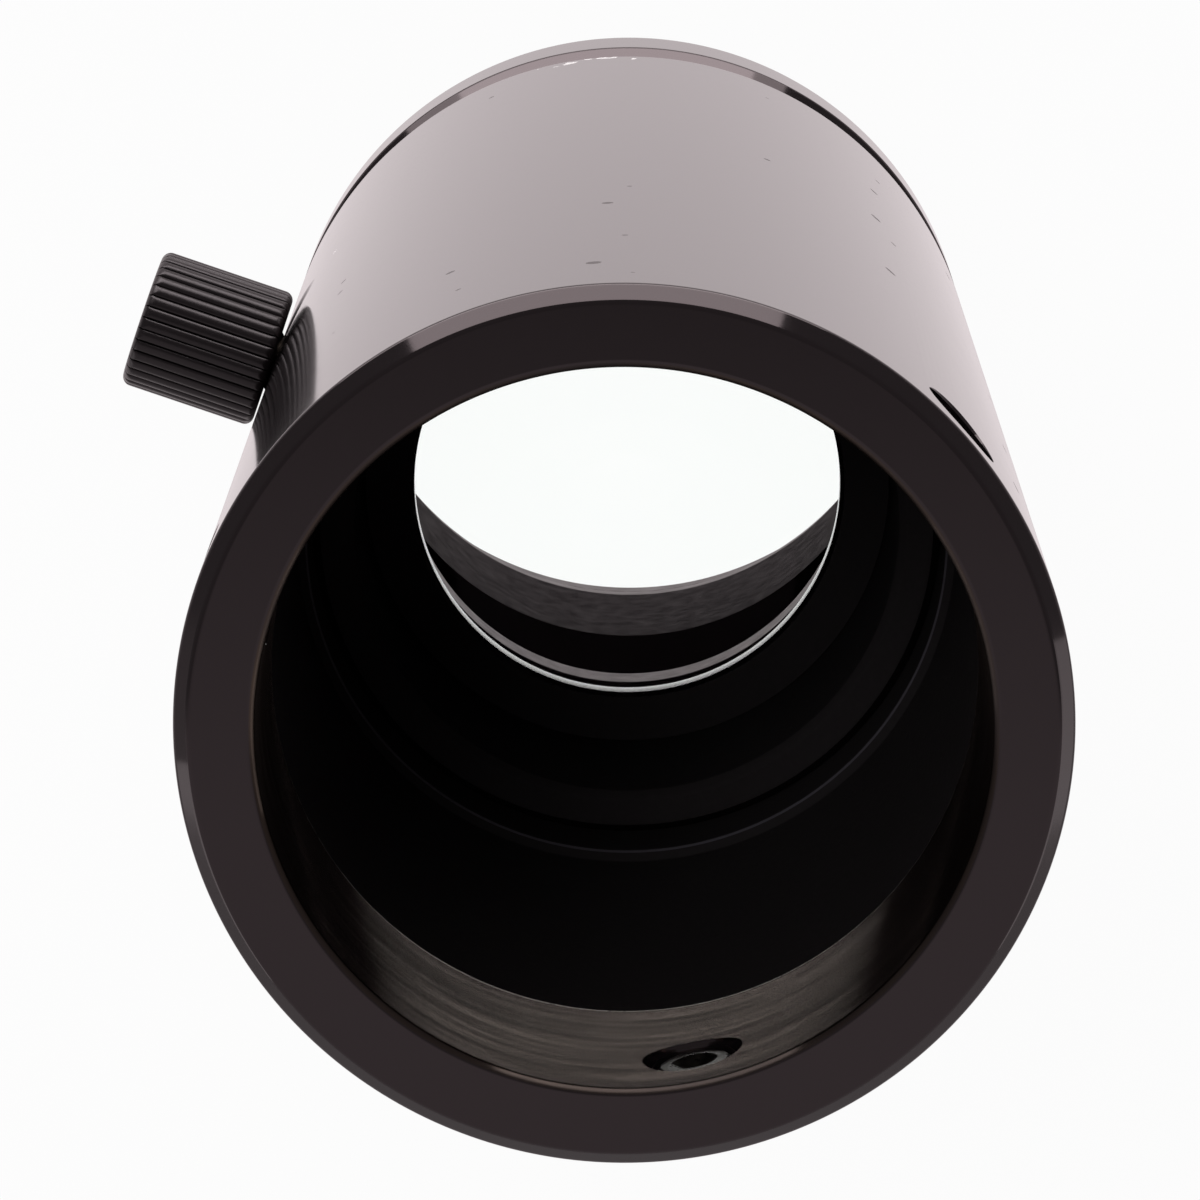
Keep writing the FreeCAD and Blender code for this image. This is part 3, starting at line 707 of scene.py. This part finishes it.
def soft_box(name, place, aim, width, height, radiance, mirrored=True):
    """A rectangular lamp whose face has the given radiance, not seen by the camera itself.

    Places are in metres in the photo's frame, where the thumb screw points left; mirrored says whether
    gloss and glass show the lamp.
    """
    lamp = bpy.data.lights.new(name, "AREA")
    lamp.shape = "RECTANGLE"
    lamp.size = width
    lamp.size_y = height
    lamp.energy = math.pi * width * height * radiance
    holder = bpy.data.objects.new(name, lamp)
    place = photo_to_part @ Vector(place)
    aim = photo_to_part @ Vector(aim)
    facing = (aim - place).to_track_quat("-Z", "Y").to_matrix().to_4x4()
    holder.matrix_world = Matrix.Translation(place) @ facing
    holder.visible_camera = False
    holder.visible_glossy = mirrored
    holder.visible_transmission = mirrored
    bpy.context.scene.collection.objects.link(holder)


soft_box("side soft box", (-0.066, 0.6, 0.2), (-0.066, 0, 0.2), 0.69, 0.36, 3.0)
soft_box("low soft box", (-0.066, 0.3, 0.05), (-0.066, 0, 0.05), 0.5, 0.1, 2.5)
soft_box("high soft box", (-0.31, 0.36, 1.1), (0, 0, 0.1), 0.4, 0.4, 5.0, mirrored=False)
soft_box("left soft box", (-0.9, -0.6, 0.15), (0, -0.6, 0.15), 0.66, 0.4, 0.8)
soft_box("right soft box", (0.9, -0.4, 0.15), (0, -0.4, 0.15), 0.8, 0.4, 0.8)

world = bpy.data.worlds.new("studio")
world.use_nodes = True
bpy.context.scene.world = world
tree = world.node_tree
tree.nodes.clear()
behind_camera = photo_to_part @ Vector((0, 1, 0))
toward = add(tree, "ShaderNodeVectorMath", {0: add(tree, "ShaderNodeTexCoord").outputs["Generated"],
                                            1: behind_camera}, operation="DOT_PRODUCT")
lit = add(tree, "ShaderNodeMapRange", {"Value": toward.outputs["Value"], "From Min": -0.24, "From Max": -0.14,
                                       "To Min": 0.85, "To Max": 0.34})
room = add(tree, "ShaderNodeBackground", {"Color": linear("#c9c4c6"), "Strength": lit.outputs[0]})
backdrop = add(tree, "ShaderNodeBackground", {"Color": (1, 1, 1, 1), "Strength": 0.95})
to_camera = add(tree, "ShaderNodeLightPath").outputs["Is Camera Ray"]
seen = add(tree, "ShaderNodeMixShader", {0: to_camera, 1: room.outputs[0], 2: backdrop.outputs[0]})
add(tree, "ShaderNodeOutputWorld", {"Surface": seen.outputs[0]})

camera_data = bpy.data.cameras.new("camera")
camera_data.lens = 183.0
camera_data.sensor_width = 36.0
camera_data.clip_start = 0.01
camera_data.clip_end = 20.0
camera = bpy.data.objects.new("camera", camera_data)
camera_tilt = math.radians(-11.73)
camera_yaw = math.radians(0.394)
camera_place = Vector((0.925, 70.40, mouth - mouth_chamfer + 306.19)) * MM
camera.matrix_world = (photo_to_part @ Matrix.Translation(camera_place)
                       @ Matrix.Rotation(camera_tilt, 4, "X") @ Matrix.Rotation(camera_yaw, 4, "Y"))
bpy.context.scene.collection.objects.link(camera)
bpy.context.scene.camera = camera
bpy.context.scene.view_settings.view_transform = "Standard"
